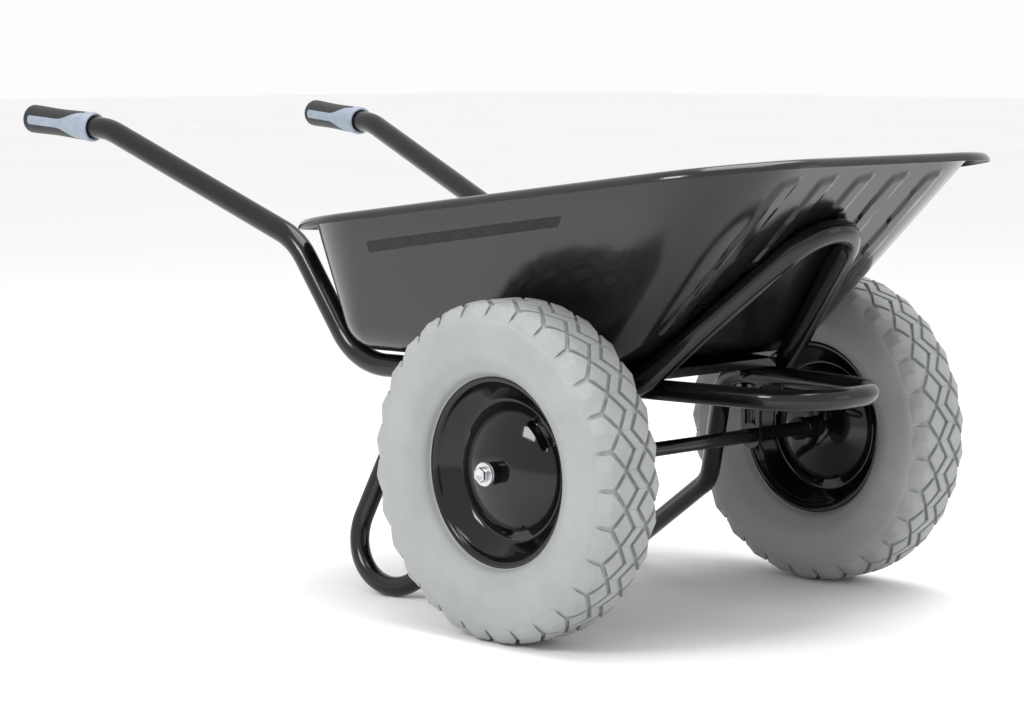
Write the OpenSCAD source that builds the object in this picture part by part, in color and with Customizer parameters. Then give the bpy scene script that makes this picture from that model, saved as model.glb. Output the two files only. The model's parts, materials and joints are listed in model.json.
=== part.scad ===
// Twin-wheel builder's wheelbarrow: pressed steel tray on two bent tubes,
// a through axle and two puncture-proof wheels.
// X points to the nose, Y to the left, Z up. The origin is on the ground.
// All sizes are millimetres.

/* [Wheels] */
// Outside diameter of the tyre
tyre_d = 400; // [340:1:440]
// Width of the tyre across its sidewalls
tyre_w = 102; // [84:1:120]
// Distance between the middle planes of the two wheels
wheel_track = 566; // [530:1:680]
// Diameter of the rim over its flange
rim_d = 224; // [190:1:260]
// Distance between the outer edges of the two rim flanges
rim_w = 54; // [46:1:64]
// Thickness of the rim's sheet steel
rim_t = 2; // [1.5:0.1:3]
// Outside diameter of the hub tube
hub_d = 26; // [25:0.5:34]
// Length of the hub tube
hub_len = 86; // [70:1:100]

/* [Axle] */
// Diameter of the axle
axle_d = 18; // [14:0.5:20]
// Wall of a plastic hub bush
bush_t = 2; // [1.5:0.1:3]
// Diameter of the end washer
end_washer_d = 34; // [30:1:40]
// Thickness of the end washer
end_washer_t = 3; // [2:0.5:5]
// Thread size of the axle's end bolts
end_bolt_d = 10; // [8:1:12]

/* [Frame tubes] */
// Outside diameter of the main tube
main_d = 30; // [26:1:34]
// Outside diameter of the leg and bumper tube
leg_d = 25; // [20:1:28]
// Wall of both tubes
tube_wall = 2; // [1.5:0.1:3]
// Bend radius of the main tube on its middle line
main_bend = 90; // [70:1:100]
// Bend radius of the leg tube on its middle line
leg_bend = 57; // [45:1:64]
// Height of the main tube's rails above the ground
rail_z = 288; // [270:1:320]
// Half the distance between the rails where the nose support rises
rail_y = 132; // [120:1:150]
// How far each rail leans outwards per unit towards the rear
splay = 0.12; // [0.06:0.01:0.13]

/* [Handles] */
// Distance from the axle back to the end of the handles
handle_x = 985; // [900:1:1080]
// Height of the handles' ends
handle_z = 590; // [540:1:660]
// Length of a grip
grip_len = 128; // [110:1:145]
// Diameter of a grip
grip_d = 39; // [36:0.5:44]

/* [Legs and bumper] */
// Distance from the axle to the front of the bumper's middle line
bumper_x = 272; // [240:1:320]
// Height of the bumper
bumper_z = 284; // [276:1:286]
// Bend radius of the bumper's front corners
bumper_bend = 80; // [57:1:84]
// Bend radius of the feet
foot_bend = 64; // [57:1:72]
// Half the distance between the feet
foot_y = 205; // [185:1:225]

/* [Tray] */
// Height of the tray's floor above the ground
floor_z = 308; // [304:1:330]
// Thickness of the tray's sheet steel
tray_t = 1.2; // [1:0.1:2]
// Height of the rim's plane above the axle
rim_z = 525; // [490:1:560]
// Rise of the rim per unit towards the nose
rim_slope = 0.128; // [0.08:0.005:0.15]
// Distance from the axle to the rear of the tray's wall at the rim
rim_rear = 459; // [440:1:480]
// Half the tray's width inside the lip at the rear
rim_half_rear = 290; // [275:1:310]
// Half the tray's width inside the lip at the nose
rim_half_nose = 250; // [235:1:262]
// Forward lean of the nose wall per unit of height
nose_lean = 1.02; // [0.95:0.01:1.1]
// Distance from the axle to the nose wall's foot
floor_front = 52; // [48:1:56]
// Radius of the bend between floor and walls
floor_bend = 34; // [28:1:36]
// Width of the rolled lip
lip_w = 22; // [16:1:26]
// Height of the rolled lip
lip_h = 11; // [8:1:14]

/* [Fasteners] */
// Thread size of the tray's and the frame's bolts
bolt_d = 8; // [6:1:8]

/* [Hidden] */
$fn = 64;
// Gap between parts that stand next to each other in one body
gap = 0.3;
// Radial clearance of a bolt in its hole
hole_gap = 0.3;
// A bend swells by this much, so that each straight ends inside its wall.
bend_swell = 0.05;
joint_lap = 0.1;
// Radial clearance of a bush on the axle
run_gap = 0.05;
// Gap along the axle between a turning and a fixed face
end_gap = 0.5;
// Segments of a tray corner and of its rolled lip
corner_steps = 8;
bend_steps = 4;
lip_steps = 8;

axle_z = tyre_d / 2;
track_half = wheel_track / 2;
tyre_half = tyre_w / 2;
rim_half = rim_w / 2;
rim_r = rim_d / 2;
hub_r = hub_d / 2;
bush_r = axle_d / 2 + run_gap;
hub_bore = axle_d / 2 + run_gap + bush_t;
hub_half = hub_len / 2;
main_r = main_d / 2;
leg_r = leg_d / 2;

// Corners of the main tube's side, from the grip to the nose support.
grip_fall = 0.081;
grip_bend_x = -834;
knee_x = -489;
knee_z = 441;
rail_rear_x = -384;
nose_base_x = floor_front + nose_lean * (rail_z - floor_z) + (main_r + gap) * sqrt(1 + pow(nose_lean, 2));
nose_spread = 0.492;
nose_rise = rail_y / nose_spread;
nose_bend = 55;
nose_base_bend = 60;
function rail_half(x) = rail_y + splay * (nose_base_x - x);
function side_point(x, z) = [x, rail_half(x), z];

main_side = [
    side_point(-handle_x, handle_z),
    side_point(grip_bend_x, handle_z - grip_fall * (handle_x + grip_bend_x)),
    side_point(knee_x, knee_z),
    side_point(rail_rear_x, rail_z),
    side_point(nose_base_x, rail_z),
    [nose_base_x + nose_lean * nose_rise, 0, rail_z + nose_rise]
];

// Corners of the leg tube, from its end on the rail to the bumper.
leg_end_x = -296;
foot_corner_x = -414;
crook_x = -82;
crook_z = 134;
leg_top_x = -22;
side_step = main_r + leg_r + gap;
function leg_half(x) = rail_half(x) - side_step;
leg_start = [leg_end_x, leg_half(leg_end_x) - 3, rail_z + leg_r];
crook = [crook_x, rail_half(0) + 12, crook_z];

// Height of a bend's lowest point, for the bend of radius r at corner b.
function low_point(a, b, c, r) =
    let (
        back = unit(a - b), ahead = unit(c - b), turn = turn_at(a, b, c),
        centre = b + unit(back + ahead) * r / cos(turn / 2),
        flat = unit(cross(back, ahead))
    )
    centre[2] - r * sqrt(1 - flat[2] * flat[2]);
// The corner height at which the foot's tube just stands on the ground.
function foot_corner(z, tries) =
    let (b = [foot_corner_x, foot_y + 33, z])
    tries == 0 ? b
        : foot_corner(z + leg_r + bend_swell - low_point(leg_start, b, crook, foot_bend), tries - 1);

leg_side = [
    leg_start,
    foot_corner(-70, 8),
    crook,
    [leg_top_x, leg_half(leg_top_x), bumper_z],
    [bumper_x, leg_half(bumper_x), bumper_z]
];

// ---------- Lines, bends and tubes ----------

function unit(v) = v / norm(v);
function mirrored(p) = [p[0], -p[1], p[2]];
function with_mirror(points) = concat(points, [for (i = [len(points) - 1:-1:0]) mirrored(points[i])]);
function turn_at(a, b, c) = acos(unit(b - a) * unit(c - b));
function cut_back(a, b, c, r) = r * tan(turn_at(a, b, c) / 2);

module framed(origin, x, z) {
    y = cross(z, x);
    multmatrix([
        [x[0], y[0], z[0], origin[0]],
        [x[1], y[1], z[1], origin[1]],
        [x[2], y[2], z[2], origin[2]],
        [0, 0, 0, 1]
    ]) children();
}

// Turns the local axes so that Z runs along the given direction.
module along(origin, direction) {
    z = unit(direction);
    framed(origin, unit(cross(abs(z[2]) < 0.9 ? [0, 0, 1] : [1, 0, 0], z)), z) children();
}

module tube_section(d, swell) {
    difference() {
        circle(r = d / 2 + swell);
        circle(r = d / 2 - tube_wall - swell);
    }
}

// A bend of the tube from the line a-b onto the line b-c.
module elbow(a, b, c, r, d) {
    back = unit(a - b);
    ahead = unit(c - b);
    turn = turn_at(a, b, c);
    start = b + back * cut_back(a, b, c, r);
    centre = b + unit(back + ahead) * r / cos(turn / 2);
    x = unit(start - centre);
    framed(centre, x, cross(x, -back))
        rotate_extrude(angle = turn) translate([r, 0]) tube_section(d, bend_swell);
}

// A tube through the corner points, with one bend radius for each inner corner.
module bent_tube(points, radii, d) {
    last = len(points) - 1;
    for (i = [0:last - 1]) {
        a = points[i];
        b = points[i + 1];
        step = unit(b - a);
        from = a + step * (i == 0 ? 0 : cut_back(points[i - 1], a, b, radii[i - 1]) - joint_lap);
        to = b - step * (i == last - 1 ? 0 : cut_back(a, b, points[i + 2], radii[i]) - joint_lap);
        along(from, step) rotate([0, 0, 45]) linear_extrude(norm(to - from)) tube_section(d, 0);
        if (i < last - 1) elbow(a, b, points[i + 2], radii[i], d);
    }
}

// ---------- Fasteners ----------

head_h = 0.65 * bolt_d;
head_w = 1.6 * bolt_d;
hole_r = bolt_d / 2 + hole_gap;

// A hexagon with the given width across its flats.
module hexagon(width, height) {
    linear_extrude(height) circle(d = width / cos(30), $fn = 6);
}

module hex_nut(thread) {
    difference() {
        hexagon(1.6 * thread, 0.8 * thread);
        translate([0, 0, -1]) cylinder(r = thread / 2 + 0.1, h = thread + 2);
    }
}

// ---------- Frame ----------

crossbar_bottom = bumper_z + leg_r + gap;
crossbar_h = floor_z - gap - crossbar_bottom;
crossbar_wall = 2;
front_bar = [-12, 70];
rear_bar = [-265, -235];
front_bolt = [3, 60];
rear_bolt = [-250, 90];
tray_bolt_places = [for (y = [-1, 1], p = [front_bolt, rear_bolt]) [p[0], y * p[1]]];

frame_bolt_z = (rail_z + bumper_z) / 2;
front_joint_x = 24;
rear_joint_x = leg_end_x - 5;
// Room for a flat head on a tube that leans across the bolt
lean_room = 1.2;
frame_bolt_places = [for (y = [-1, 1], x = [front_joint_x, rear_joint_x]) [x, y, frame_bolt_z]];

module frame_bolt_holes() {
    for (p = frame_bolt_places)
        translate([p[0], 0, p[2]]) rotate([-90 * p[1], 0, 0])
            cylinder(r = hole_r, h = rail_half(p[0]) + main_d);
}

module main_tube() {
    radii = [main_bend, main_bend, main_bend, nose_base_bend, nose_bend,
             nose_base_bend, main_bend, main_bend, main_bend];
    color("#16171a") difference() {
        bent_tube(concat(main_side, [for (i = [4:-1:0]) mirrored(main_side[i])]), radii, main_d);
        frame_bolt_holes();
    }
}

module leg_tube() {
    radii = [foot_bend, leg_bend, leg_bend, bumper_bend, bumper_bend, leg_bend, leg_bend, foot_bend];
    color("#16171a") difference() {
        bent_tube(with_mirror(leg_side), radii, leg_d);
        frame_bolt_holes();
    }
}

// A flat box section across the frame, from x0 to x1, narrower at the front.
module crossbar(x, half, bolt) {
    w = crossbar_wall;
    slope = (half[1] - half[0]) / (x[1] - x[0]);
    color("#1c1d20") difference() {
        translate([0, 0, crossbar_bottom]) linear_extrude(crossbar_h) polygon([
            [x[0], -half[0]], [x[1], -half[1]], [x[1], half[1]], [x[0], half[0]]
        ]);
        translate([x[0] + w, -half[0] - 1, crossbar_bottom + w])
            cube([x[1] - x[0] - 2 * w, 2 * half[0] + 2, crossbar_h - 2 * w]);
        for (y = [-1, 1])
            translate([bolt[0], y * bolt[1], crossbar_bottom - 1])
                cylinder(r = hole_r, h = crossbar_h + 2);
    }
}

module front_crossbar() {
    crossbar(front_bar, [rail_half(front_bar[0]) - main_r - 2, rail_half(front_bar[1]) - main_r - 12], front_bolt);
}
module rear_crossbar() {
    crossbar(rear_bar, [for (x = rear_bar) rail_half(x) - main_r - gap - splay], rear_bolt);
}

// Studs welded under the floor hold the tray on the crossbars. It only rests
// on the nose support.
nut_h = 0.8 * bolt_d;
module tray_bolts() {
    color("#16171a") for (p = tray_bolt_places)
        translate([p[0], p[1], crossbar_bottom - nut_h - 3])
            cylinder(d = bolt_d, h = floor_z - crossbar_bottom + nut_h + 3);
}

module tray_nuts() {
    color("#16171a") for (p = tray_bolt_places)
        translate([p[0], p[1], crossbar_bottom - nut_h]) hex_nut(bolt_d);
}

function joint_outside(x) = rail_half(x) + main_r + lean_room;
function joint_inside(x) = leg_half(x) - leg_r - lean_room - (x < 0 ? 3 : 0);

module frame_bolts() {
    color("#16171a") for (p = frame_bolt_places)
        translate([p[0], p[1] * joint_outside(p[0]), p[2]]) rotate([90 * p[1], 0, 0]) {
            translate([0, 0, -head_h]) hexagon(head_w, head_h);
            cylinder(d = bolt_d, h = joint_outside(p[0]) - joint_inside(p[0]) + 0.8 * bolt_d + 3);
        }
}

module frame_nuts() {
    color("#16171a") for (p = frame_bolt_places)
        translate([p[0], p[1] * joint_inside(p[0]), p[2]]) rotate([90 * p[1], 0, 0]) hex_nut(bolt_d);
}

// ---------- Axle ----------

bush_flange_t = 2;
axle_half = track_half + hub_half + bush_flange_t + end_gap;
tap_depth = 2.5 * end_bolt_d;
end_thread_gap = 0.1;

// Puts a piece on the axle's line, with Z pointing outwards on its side.
module on_axle(side, y) {
    translate([0, side * y, axle_z]) rotate([-90 * side, 0, 0]) children();
}

module axle() {
    color("#1a1b1e") difference() {
        on_axle(1, -axle_half) cylinder(d = axle_d, h = 2 * axle_half);
        for (side = [-1, 1])
            on_axle(side, axle_half - tap_depth) cylinder(d = end_bolt_d, h = tap_depth + 1);
    }
}

// A steel plate that hangs under the rail and carries the axle in its ring.
hanger_t = 5;
hanger_leg = 6;
hanger_ring = 7;
hanger_tab_h = 8;
module axle_hanger(side) {
    top = rail_z - main_r - gap;
    inner = axle_d / 2;
    tab_half = inner + hanger_leg + hanger_ring;
    color("#1c1d20") translate([0, side * rail_half(0) + hanger_t / 2, 0]) rotate([90, 0, 0])
        linear_extrude(hanger_t) difference() {
            union() {
                translate([0, axle_z]) circle(r = inner + hanger_ring);
                for (x = [-1, 1])
                    translate([x * (inner + hanger_leg / 2) - hanger_leg / 2, axle_z])
                        square([hanger_leg, top - axle_z]);
                translate([-tab_half, top - hanger_tab_h]) square([2 * tab_half, hanger_tab_h]);
            }
            translate([0, axle_z]) circle(r = inner + end_thread_gap);
        }
}

collar_w = 10;
module axle_collar(side) {
    color("#2a2b2e") on_axle(side, track_half - hub_half - bush_flange_t - end_gap - collar_w)
        difference() {
            cylinder(d = axle_d + 12, h = collar_w);
            translate([0, 0, -1]) cylinder(r = axle_d / 2 + run_gap, h = collar_w + 2);
        }
}

module axle_washer(side) {
    color("#c3c6ca") on_axle(side, axle_half) difference() {
        cylinder(d = end_washer_d, h = end_washer_t);
        translate([0, 0, -1]) cylinder(r = end_bolt_d / 2 + hole_gap, h = end_washer_t + 2);
    }
}

module axle_bolt(side) {
    color("#c3c6ca") on_axle(side, axle_half + end_washer_t) {
        hexagon(1.6 * end_bolt_d, 0.65 * end_bolt_d);
        translate([0, 0, 3 - tap_depth])
            cylinder(r = end_bolt_d / 2 - end_thread_gap, h = tap_depth - 3);
    }
}

// ---------- Wheels ----------

// Thickens a line in the radius-height plane into a closed outline.
function side_of(line, i) =
    let (a = line[max(0, i - 1)], b = line[min(len(line) - 1, i + 1)], d = unit(b - a))
    [-d[1], d[0]];
function thickened(line, t) = concat(
    [for (i = [0:len(line) - 1]) line[i] + side_of(line, i) * t / 2],
    [for (i = [len(line) - 1:-1:0]) line[i] - side_of(line, i) * t / 2]
);

// Middle line of one pressed rim half: flange, bead seat, joint ring and dome.
seat_r = rim_r - 11;
joint_r = 0.72 * rim_r;
dome_h = 16.5;
rim_line = concat(
    [[rim_r, rim_half - rim_t / 2], [seat_r + 5, rim_half - rim_t / 2], [seat_r + 1.5, rim_half - 4.5],
     [seat_r, rim_half - 9], [seat_r - 1.5, rim_half / 3], [seat_r - 5, rim_t + 1.5],
     [seat_r - 10, rim_t / 2], [joint_r, rim_t / 2]],
    [for (a = [15:15:90]) [
        hub_r + 1 + (joint_r - 4 - hub_r - 1) * cos(a),
        rim_t / 2 + dome_h * sin(a)
    ]]
);

module rim_half_solid(side, facing) {
    color("#131416") on_axle(side, track_half) mirror([0, 0, facing < 0 ? 1 : 0])
        rotate_extrude() difference() {
            polygon(thickened(rim_line, rim_t));
            translate([-1, -rim_w]) square([hub_r + 1 + gap / 2, 2 * rim_w]);
            translate([0, -rim_w]) square([rim_r + 1, rim_w]);
        }
}

// Foam tyre: a rounded block that fills the rim between its flanges.
crown_r = tyre_d / 2;
shoulder_r = crown_r - 12;
belly_r = (crown_r + rim_r) / 2;
bead_half = rim_half - rim_t - gap;
// Leans and radii of the section, from the crown to the bead
tyre_line = [
    [crown_r, 0.42 * tyre_half], [crown_r - 3, 0.66 * tyre_half], [shoulder_r, 0.84 * tyre_half],
    [shoulder_r - 14, 0.965 * tyre_half], [belly_r, tyre_half], [belly_r - 14, 0.985 * tyre_half],
    [belly_r - 25, 0.9 * tyre_half], [rim_r + 4, 0.72 * tyre_half], [rim_r + 1.5, rim_half + 1.5],
    [rim_r + 1, rim_half], [rim_r + 0.6, bead_half], [seat_r + 6, bead_half],
    [seat_r + 3.5, rim_half - 6], [seat_r + 1.6, rim_half - 10], [seat_r + 0.6, 3]
];

module tyre(side) {
    color("#a9aaa8") on_axle(side, track_half) rotate_extrude() polygon(concat(
        tyre_line,
        [for (i = [len(tyre_line) - 1:-1:0]) [tyre_line[i][0], -tyre_line[i][1]]]
    ));
}

module hub_tube(side) {
    color("#131416") on_axle(side, track_half) difference() {
        translate([0, 0, -hub_half]) cylinder(r = hub_r, h = hub_len);
        translate([0, 0, -hub_half - 1]) cylinder(r = hub_bore, h = hub_len + 2);
    }
}

bush_len = 20;
bush_fit = 0.02;
module hub_bush(side, facing) {
    color("#d8d6cf") on_axle(side, track_half) mirror([0, 0, facing < 0 ? 1 : 0])
        translate([0, 0, hub_half]) difference() {
            union() {
                translate([0, 0, -bush_len]) cylinder(r = hub_bore - bush_fit, h = bush_len);
                cylinder(r = hub_r, h = bush_flange_t);
            }
            translate([0, 0, -bush_len - 1])
                cylinder(r = bush_r, h = bush_len + bush_flange_t + 2);
        }
}

// ---------- Handles ----------

grip_gap = 0.1;
grip_end = 5;
collar_len = 16;
grip_round = 5;
// Puts a piece on the end of a handle, with Z pointing along it to the front.
module on_handle(side) {
    a = side > 0 ? main_side[0] : mirrored(main_side[0]);
    b = side > 0 ? main_side[1] : mirrored(main_side[1]);
    along(a, b - a) children();
}

module grip(side) {
    color("#131416") on_handle(side) difference() {
        rotate_extrude() difference() {
            translate([0, -grip_end]) square([grip_d / 2, grip_len - collar_len]);
            difference() {
                translate([grip_d / 2 - grip_round, -grip_end - 1]) square([grip_round + 1, grip_round + 1]);
                translate([grip_d / 2 - grip_round, grip_round - grip_end]) circle(r = grip_round);
            }
        }
        cylinder(r = main_r + grip_gap, h = grip_len);
    }
}

module grip_collar(side) {
    start = grip_len - collar_len - grip_end;
    color("#8d97a2") on_handle(side) rotate_extrude() polygon([
        [main_r + grip_gap, start], [grip_d / 2, start], [grip_d / 2 + 1, start + 0.4 * collar_len],
        [grip_d / 2 + 1, start + 0.8 * collar_len], [grip_d / 2 - 1, start + collar_len],
        [main_r + grip_gap, start + collar_len]
    ]);
}

// ---------- Tray ----------

// Points of the bend of radius r from the line a-b onto the line b-c, in plan.
function plan_bend(a, b, c, r) =
    let (
        back = unit(a - b), ahead = unit(c - b), turn = turn_at(a, b, c),
        centre = b + unit(back + ahead) * r / cos(turn / 2),
        start = b + back * cut_back(a, b, c, r) - centre
    )
    [for (k = [0:corner_steps])
        let (w = -turn * k / corner_steps)
        centre + [start[0] * cos(w) - start[1] * sin(w), start[0] * sin(w) + start[1] * cos(w)]];

// Outline in plan: [rear x, front x, half width rear, half width front, rear radius, front radius].
function plan_half(o, inset) =
    let (
        a = [o[0] + inset, 0], b = [o[0] + inset, o[2] - inset],
        c = [o[1] - inset, o[3] - inset], d = [o[1] - inset, 0]
    )
    concat(plan_bend(a, b, c, o[4] - inset), plan_bend(b, c, d, o[5] - inset));
function plan_outline(o, inset) =
    let (half = plan_half(o, inset))
    concat(half, [for (i = [len(half) - 1:-1:0]) [half[i][0], -half[i][1]]]);

rim_front = (floor_front + nose_lean * (rim_z - floor_z)) / (1 - nose_lean * rim_slope);
floor_plan = [-380, floor_front, 222, 190, 42, 40];
rim_plan = [-rim_rear, rim_front, rim_half_rear, rim_half_nose, 167, 130];

// A ring of the wall: "up" millimetres above the floor, moved in by "inset".
function wall_ring(up, inset) =
    let (low = plan_outline(floor_plan, inset), high = plan_outline(rim_plan, inset))
    [for (i = [0:len(low) - 1])
        let (t = up / (rim_z + rim_slope * high[i][0] - floor_z))
        [low[i][0] + (high[i][0] - low[i][0]) * t, low[i][1] + (high[i][1] - low[i][1]) * t, floor_z + up]];
// A ring of the lip: "below" millimetres under the rim's plane. A lean of 1
// keeps it on the wall, and a lean of 0 right under the rim's outline.
function lip_ring(below, inset, lean) =
    let (low = plan_outline(floor_plan, inset), high = plan_outline(rim_plan, inset))
    [for (i = [0:len(low) - 1])
        let (z = rim_z + rim_slope * high[i][0], t = 1 - lean * below / (z - floor_z))
        [low[i][0] + (high[i][0] - low[i][0]) * t, low[i][1] + (high[i][1] - low[i][1]) * t, z - below]];

function floor_bend_rings(r, start) =
    [for (k = [0:bend_steps])
        let (a = 90 * k / bend_steps)
        wall_ring(start + r * (1 - cos(a)), start + r * (1 - sin(a)))];

tray_rings = concat(
    floor_bend_rings(floor_bend, 0),
    [for (k = [0:lip_steps])
        let (a = 180 * k / lip_steps)
        lip_ring(lip_h - (lip_h - tray_t) * sin(a), -(lip_w - tray_t) / 2 * (1 - cos(a)), max(0, cos(a)))],
    [for (k = [lip_steps:-1:0])
        let (a = 180 * k / lip_steps)
        lip_ring(lip_h - lip_h * sin(a), tray_t - (lip_w + tray_t) / 2 * (1 - cos(a)), max(0, cos(a)))],
    [for (k = [bend_steps:-1:0])
        floor_bend_rings(floor_bend - tray_t, tray_t)[k]]
);

module tray() {
    n = len(tray_rings[0]);
    rings = len(tray_rings);
    color("#1b1c1f") polyhedron(
        points = [for (ring = tray_rings) each ring],
        faces = concat(
            [[for (i = [0:n - 1]) i]],
            [for (r = [0:rings - 2], i = [0:n - 1], half = [0, 1])
                let (j = (i + 1) % n)
                half == 0 ? [r * n + i, (r + 1) * n + i, (r + 1) * n + j]
                          : [r * n + i, (r + 1) * n + j, r * n + j]],
            [[for (i = [n - 1:-1:0]) (rings - 1) * n + i]]
        )
    );
}

// ---------- Assembly ----------

// The origin is on the ground, under the middle of the whole length.
grip_line = unit(main_side[1] - main_side[0]);
rear_end = -handle_x - grip_round - (grip_d / 2 - grip_round) * sqrt(1 - pow(grip_line[0], 2));
module placed() {
    translate([-(rear_end + rim_front + lip_w) / 2, 0, 0]) children();
}

placed() tray();
placed() main_tube();
placed() leg_tube();
placed() front_crossbar();
placed() rear_crossbar();
placed() axle();
placed() tray_bolts();
placed() tray_nuts();
placed() frame_bolts();
placed() frame_nuts();
for (side = [1, -1]) {
    name = side > 0 ? "left" : "right";
    placed() axle_hanger(side);
    placed() axle_collar(side);
    placed() axle_washer(side);
    placed() axle_bolt(side);
    placed() grip(side);
    placed() grip_collar(side);
    placed() tyre(side);
    placed() rim_half_solid(side, 1);
    placed() rim_half_solid(side, -1);
    placed() hub_tube(side);
    placed() hub_bush(side, 1);
    placed() hub_bush(side, -1);
}
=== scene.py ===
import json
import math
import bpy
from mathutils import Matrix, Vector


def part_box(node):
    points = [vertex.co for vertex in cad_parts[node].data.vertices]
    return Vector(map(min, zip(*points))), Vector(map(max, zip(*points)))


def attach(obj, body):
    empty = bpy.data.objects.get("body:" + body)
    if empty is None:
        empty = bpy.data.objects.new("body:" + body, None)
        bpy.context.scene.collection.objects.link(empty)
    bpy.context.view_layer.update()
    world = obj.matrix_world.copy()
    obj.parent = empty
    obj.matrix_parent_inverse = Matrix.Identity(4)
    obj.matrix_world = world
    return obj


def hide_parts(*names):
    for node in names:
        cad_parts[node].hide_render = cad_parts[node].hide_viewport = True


bl_info = {
    "name": "Two-wheeled wheelbarrow",
    "version": (1, 0, 0),
    "blender": (4, 5, 0),
    "location": "View3D > Sidebar > Barrow",
    "description": "Builds the visible pieces of a two-wheeled wheelbarrow round its frame",
    "category": "Object",
}

import bmesh
import bpy
from mathutils import Matrix, Vector

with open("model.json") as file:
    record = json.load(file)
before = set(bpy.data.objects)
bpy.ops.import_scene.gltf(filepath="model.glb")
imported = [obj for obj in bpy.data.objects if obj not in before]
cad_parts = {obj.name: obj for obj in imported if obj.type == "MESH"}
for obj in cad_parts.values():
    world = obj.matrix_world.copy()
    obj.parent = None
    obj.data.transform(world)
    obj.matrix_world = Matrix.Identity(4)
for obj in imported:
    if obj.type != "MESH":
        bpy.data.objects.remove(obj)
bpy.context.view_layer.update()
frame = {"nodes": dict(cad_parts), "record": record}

MM = 0.001
SIDES = {"left": 1, "right": -1}


def middle(node):
    low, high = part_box(node)
    return (Vector(low) + Vector(high)) / 2


AXLE = middle("axle")


# ---------- Settings ----------

# Lengths in the settings are in metres


def length(text, help_text, default):
    return bpy.props.FloatProperty(
        name=text, description=help_text, default=default, unit="LENGTH", precision=4
    )


def colour(text, help_text, default):
    return bpy.props.StringProperty(name=text, description=help_text, default=default)


class BarrowTraySettings(bpy.types.PropertyGroup):
    floor_z: length("Floor height", "Height of the floor's underside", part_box("tray")[0][2])
    floor_rear: length("Floor rear", "Rear end of the floor's outline, behind the axle", 0.380)
    floor_front: length("Floor front", "Front end of the floor's outline, ahead of the axle", 0.052)
    floor_half_rear: length("Floor half width, rear", "Half width of the floor's rear", 0.222)
    floor_half_front: length("Floor half width, nose", "Half width of the floor's front", 0.190)
    floor_r_rear: length("Floor corners, rear", "Radius of the floor's rear corners", 0.042)
    floor_r_front: length("Floor corners, nose", "Radius of the floor's front corners", 0.040)
    floor_bend: length("Floor bend", "Radius of the bend from the floor to the walls", 0.034)
    rim_z: length("Rim height", "Height of the rim's plane over the axle", 0.525)
    rim_slope: bpy.props.FloatProperty(
        name="Rim slope", description="Rise of the rim towards the nose", default=0.128
    )
    rim_rear: length("Rim rear", "Rear end of the rim behind the axle", 0.459)
    rim_half_rear: length("Rim half width, rear", "Half width of the rim at the rear", 0.290)
    rim_half_front: length("Rim half width, nose", "Half width of the rim at the nose", 0.250)
    rim_r_rear: length("Rim corners, rear", "Radius of the rim's rear corners", 0.167)
    rim_r_front: length("Rim corners, nose", "Radius of the rim's nose corners", 0.130)
    nose_lean: bpy.props.FloatProperty(
        name="Nose lean", description="Forward lean of the nose wall per height", default=1.02
    )
    sheet: length("Sheet", "Thickness of the pressed sheet", 0.0012)
    lip_w: length("Lip width", "Width of the rolled lip", 0.022)
    lip_h: length("Lip height", "Height of the rolled lip", 0.011)
    rib_pitch: length("Rib pitch", "Distance between the pressed ribs of the nose wall", 0.065)
    rib_w: length("Rib width", "Width of a pressed rib", 0.024)
    rib_h: length("Rib height", "How far a rib is pressed out", 0.003)
    rib_top: length("Rib top", "Height of the ribs' upper ends", 0.543)
    strip_below: length("Strip below rim", "Distance of the side strip below the rim", 0.038)
    strip_w: length("Strip width", "Width of the side strip", 0.0135)
    strip_from: bpy.props.FloatProperty(
        name="Strip from", description="Where the side strip starts along the wall", default=0.24
    )
    strip_to: bpy.props.FloatProperty(
        name="Strip to", description="Where the side strip ends along the wall", default=0.69
    )


class BarrowWheelSettings(bpy.types.PropertyGroup):
    pitches: bpy.props.IntProperty(
        name="Tread pitches", description="Number of tread blocks in one row", default=28
    )
    groove_depth: length("Groove depth", "Depth of the tread's grooves", 0.0048)
    groove_w: length("Groove width", "Width of the grooves between the blocks", 0.0054)
    block_near: length("Blocks from", "Where the diamond blocks start beside the middle", 0.001)
    block_far: length("Blocks to", "Where the diamond blocks end towards the wall", 0.035)
    lug_end: length("Lug end", "Where the shoulder lugs run out on the wall", 0.058)
    lug_ridge: length("Lug ridge", "Height of the ridge along each lug", 0.0019)
    dome_h: length("Dome height", "Height of the rim's pressed dome", 0.0285)
    notch_w: length("Notch width", "Width of the dome's three notches", 0.040)
    notch_depth: length("Notch depth", "How far a notch reaches into the dome", 0.012)
    dome_r: length("Dome radius", "Radius of the dome's foot", 0.0808)
    rim_sheet: length("Rim sheet", "Thickness of the rim's sheet", 0.002)


class BarrowGripSettings(bpy.types.PropertyGroup):
    outer_r: length("Grip radius", "Outer radius of the rubber", 0.0195)
    bore_r: length("Grip bore", "Radius of the rubber's bore round the tube", 0.0151)
    waist: length("Grip waist", "How far the grip narrows in its middle", 0.0009)
    stripe_w: length("Stripe width", "Width of the grip's insert", 0.0125)
    stripe_gap: length("Stripe start", "Distance of the insert from the grip's end", 0.012)
    flare_w: length("Flare width", "Width of the insert where it meets the collar", 0.046)


class BarrowColours(bpy.types.PropertyGroup):
    enamel: colour("Tray", "Colour of the tray's enamel", "#131316")
    powder: colour("Frame", "Colour of the frame's powder coat", "#0E0E10")
    rim: colour("Rims", "Colour of the rims' enamel", "#0A0A0C")
    foam: colour("Tyres", "Colour of the foam tyres", "#989B98")
    zinc: colour("Zinc", "Colour of the zinc plating", "#C9CBCE")
    rubber: colour("Grips", "Colour of the grips' rubber", "#121213")
    insert: colour("Inserts", "Colour of the grips' inserts", "#8B95A2")
    nylon: colour("Bushes", "Colour of the nylon bushes", "#D8D5CB")


# ---------- Materials ----------


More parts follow.
